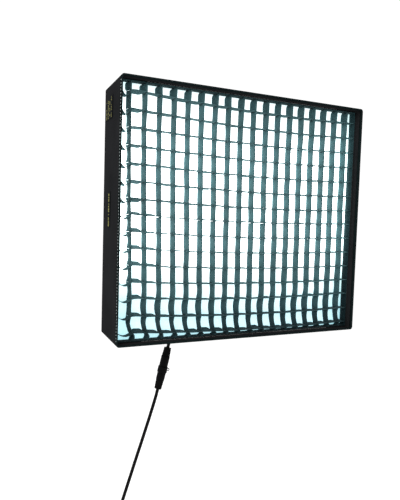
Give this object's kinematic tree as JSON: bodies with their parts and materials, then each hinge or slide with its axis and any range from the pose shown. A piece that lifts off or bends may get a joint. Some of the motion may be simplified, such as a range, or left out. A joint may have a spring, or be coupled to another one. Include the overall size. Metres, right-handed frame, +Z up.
{
  "type": "flat led softbox with grid",
  "caption": "Rectangular cloth softbox with a flexible LED mat, recessed diffuser and cloth egg-crate grid, on a tilting stand socket.",
  "frame": {"origin": "on the axis of the spigot socket, at the middle of its depth", "axes": "+Z up along the socket, the lit face looks along -Y, +X runs across the front to the right as seen from the front"},
  "size_m": [0.7207, 0.296, 1.2463],
  "materials": {
    "black_cloth": "matte",
    "woven_label": "satin",
    "glass_fibre": "satin",
    "brass": "satin",
    "hook_and_loop": "matte",
    "diffusion_cloth": "matte",
    "white_webbing": "matte",
    "grid_cloth": "matte",
    "mat_cloth": "matte",
    "led_phosphor": "gloss",
    "black_webbing": "matte",
    "bright_steel": "satin",
    "black_plastic": "satin",
    "aluminium_tube": "satin",
    "black_rubber": "matte",
    "cable_jacket": "satin",
    "black_casting": "satin",
    "red_plastic": "gloss"
  },
  "bodies": {
    "receiver": {"stand_receiver": "black_casting", "friction_discs": "black_plastic", "pivot_bolt": "bright_steel", "pivot_washers": "bright_steel", "lever_cap": "bright_steel", "pigtail": "cable_jacket", "pigtail_boot": "black_rubber", "plug_shell": "black_plastic", "socket_shell": "black_plastic", "lead_boot": "black_rubber", "lead": "cable_jacket", "end_boot": "black_rubber", "end_plug": "black_plastic"},
    "head": {"side_panel_left": "black_cloth", "side_panel_right": "black_cloth", "side_panel_top": "black_cloth", "side_panel_bottom": "black_cloth", "back_panel": "black_cloth", "opening_binding": "black_cloth", "corner_patches": "black_cloth", "side_labels": "woven_label", "rim_binding": "black_cloth", "front_hoop_left": "glass_fibre", "front_hoop_right": "glass_fibre", "hoop_ferrules": "brass", "hook_tape": "hook_and_loop", "diffuser": "diffusion_cloth", "diffuser_hem": "white_webbing", "led_mat": "mat_cloth", "led_chips": "led_phosphor", "mat_binding": "black_webbing", "mat_eyelets": "bright_steel", "mat_straps": "black_webbing", "mat_junction": "black_plastic", "arm_upper_left": "aluminium_tube", "arm_upper_right": "aluminium_tube", "arm_lower_left": "aluminium_tube", "arm_lower_right": "aluminium_tube", "arm_tips": "black_rubber", "corner_pockets": "black_cloth", "hub_plate": "black_casting", "hub_screws": "bright_steel", "tilt_tongue": "black_casting", "cable_gland": "black_plastic", "gland_boot": "black_rubber", "inner_lead": "cable_jacket"},
    "grid": {"grid_border": "grid_cloth", "grid_uprights": "grid_cloth", "grid_rails": "grid_cloth", "grid_loop_tape": "hook_and_loop"},
    "button": {"hub_button": "red_plastic"},
    "tilt_lever": {"tilt_lever": "black_plastic"},
    "pad": {"clamp_pad": "brass"},
    "knob": {"clamp_screw": "bright_steel", "knob_grips": "black_rubber"},
    "collar": {"coupling_collar": "black_plastic"}
  },
  "joints": [
    {"name": "head_tilt", "type": "hinge", "parent": "receiver", "child": "head", "pos_m": [0, 0, 0.045], "axis": [-1, 0, 0], "range_deg": [-10, 90], "deforming": ["pigtail"]},
    {"name": "grid_pull", "type": "slide", "parent": "head", "child": "grid", "axis": [0, -1, 0], "range_m": [0, 0.08]},
    {"name": "button_press", "type": "slide", "parent": "head", "child": "button", "axis": [0, -1, 0], "range_m": [0, 0.003], "stiffness_N_per_m": 600},
    {"name": "tilt_lock", "type": "hinge", "parent": "receiver", "child": "tilt_lever", "pos_m": [0, 0, 0.045], "axis": [1, 0, 0], "range_deg": [0, 90]},
    {"name": "pad_travel", "type": "slide", "parent": "receiver", "child": "pad", "axis": [0, 1, 0], "range_m": [0, 0.0025]},
    {"name": "knob_turn", "type": "hinge", "parent": "pad", "child": "knob", "pos_m": [0, 0, -0.002], "axis": [0, 1, 0], "range_deg": [0, 720]},
    {"name": "collar_turn", "type": "hinge", "parent": "receiver", "child": "collar", "pos_m": [-0.15349, 0, -0.42221], "axis": [-0.2277, 0, -0.9737], "range_deg": [0, 90]}
  ],
  "couplings": [
    {"joint": "knob_turn", "follows": "pad_travel", "rad_per_m": 5026.5}
  ]
}
